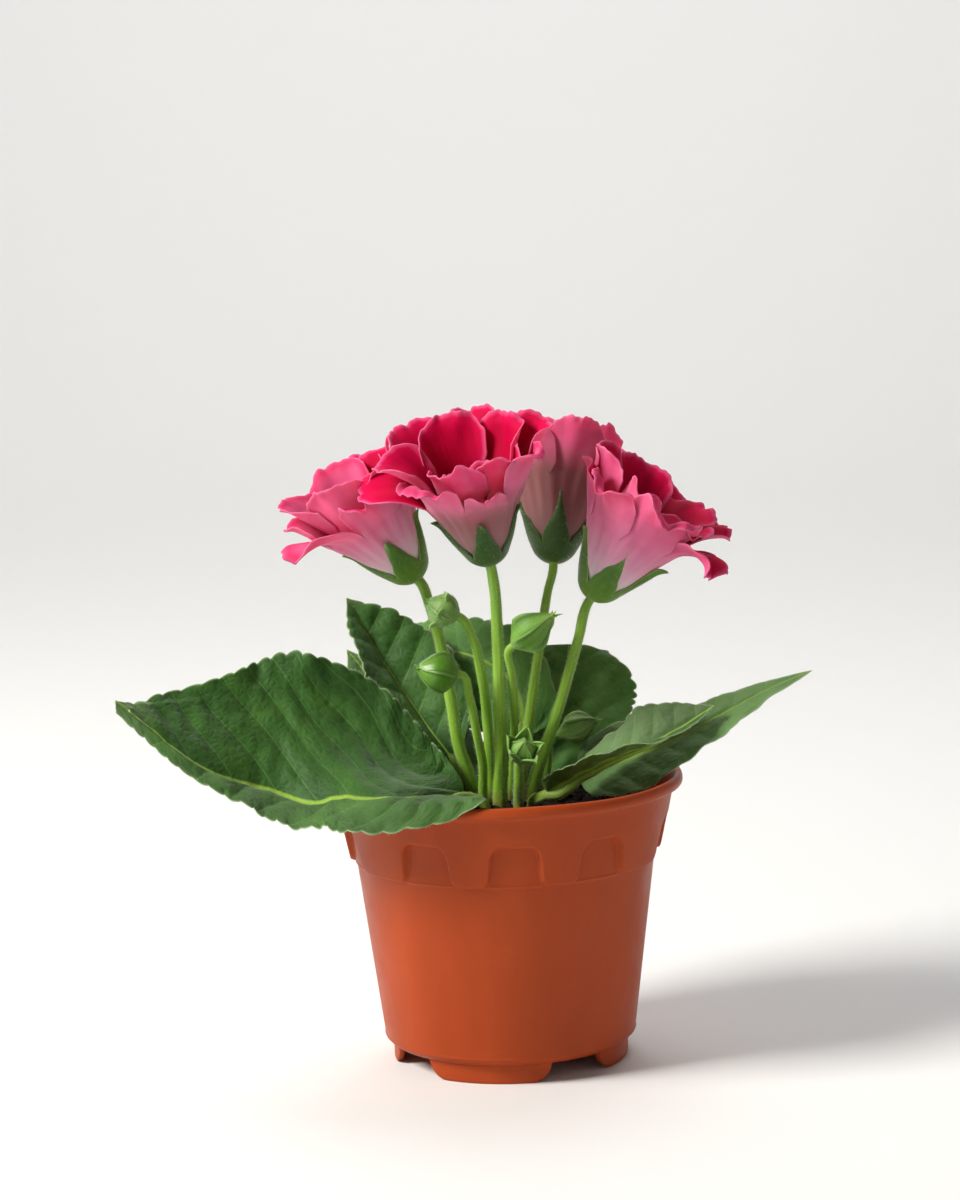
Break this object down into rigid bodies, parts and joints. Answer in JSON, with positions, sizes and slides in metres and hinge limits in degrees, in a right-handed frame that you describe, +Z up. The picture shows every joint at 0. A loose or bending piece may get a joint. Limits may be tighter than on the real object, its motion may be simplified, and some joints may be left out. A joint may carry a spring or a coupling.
{
  "type": "potted gloxinia",
  "caption": "Flowering gloxinia plant with ruffled double blooms, buds and broad crenate leaves, growing in a round nursery pot.",
  "frame": {"origin": "middle of the part's box, at the height of the surface that the pot's feet stand on", "axes": "+Z up along the pot's axis, +X toward the right of the plant as pictured, and the side that faces the viewer is -Y"},
  "size_m": [0.2298, 0.1252, 0.221],
  "materials": {
    "pot_plastic": "satin moulded",
    "soil": "moist crumbly peat",
    "leaf": "soft, finely haired",
    "stem": "soft, finely haired",
    "petal": "velvety"
  },
  "bodies": {
    "root": {"pot": "pot_plastic", "soil": "soil", "leaf_1": "leaf", "leaf_2": "leaf", "leaf_3": "leaf", "leaf_4": "leaf", "leaf_5": "leaf", "leaf_6": "leaf", "leaf_7": "leaf", "stalk_1": "stem", "stalk_2": "stem", "stalk_3": "stem", "stalk_4": "stem", "bud_1": "stem", "bud_2": "stem", "bud_3": "stem", "bud_4": "stem", "bud_5": "stem", "bloom_1": "petal", "bloom_2": "petal", "bloom_3": "petal", "bloom_4": "petal"}
  },
  "joints": []
}
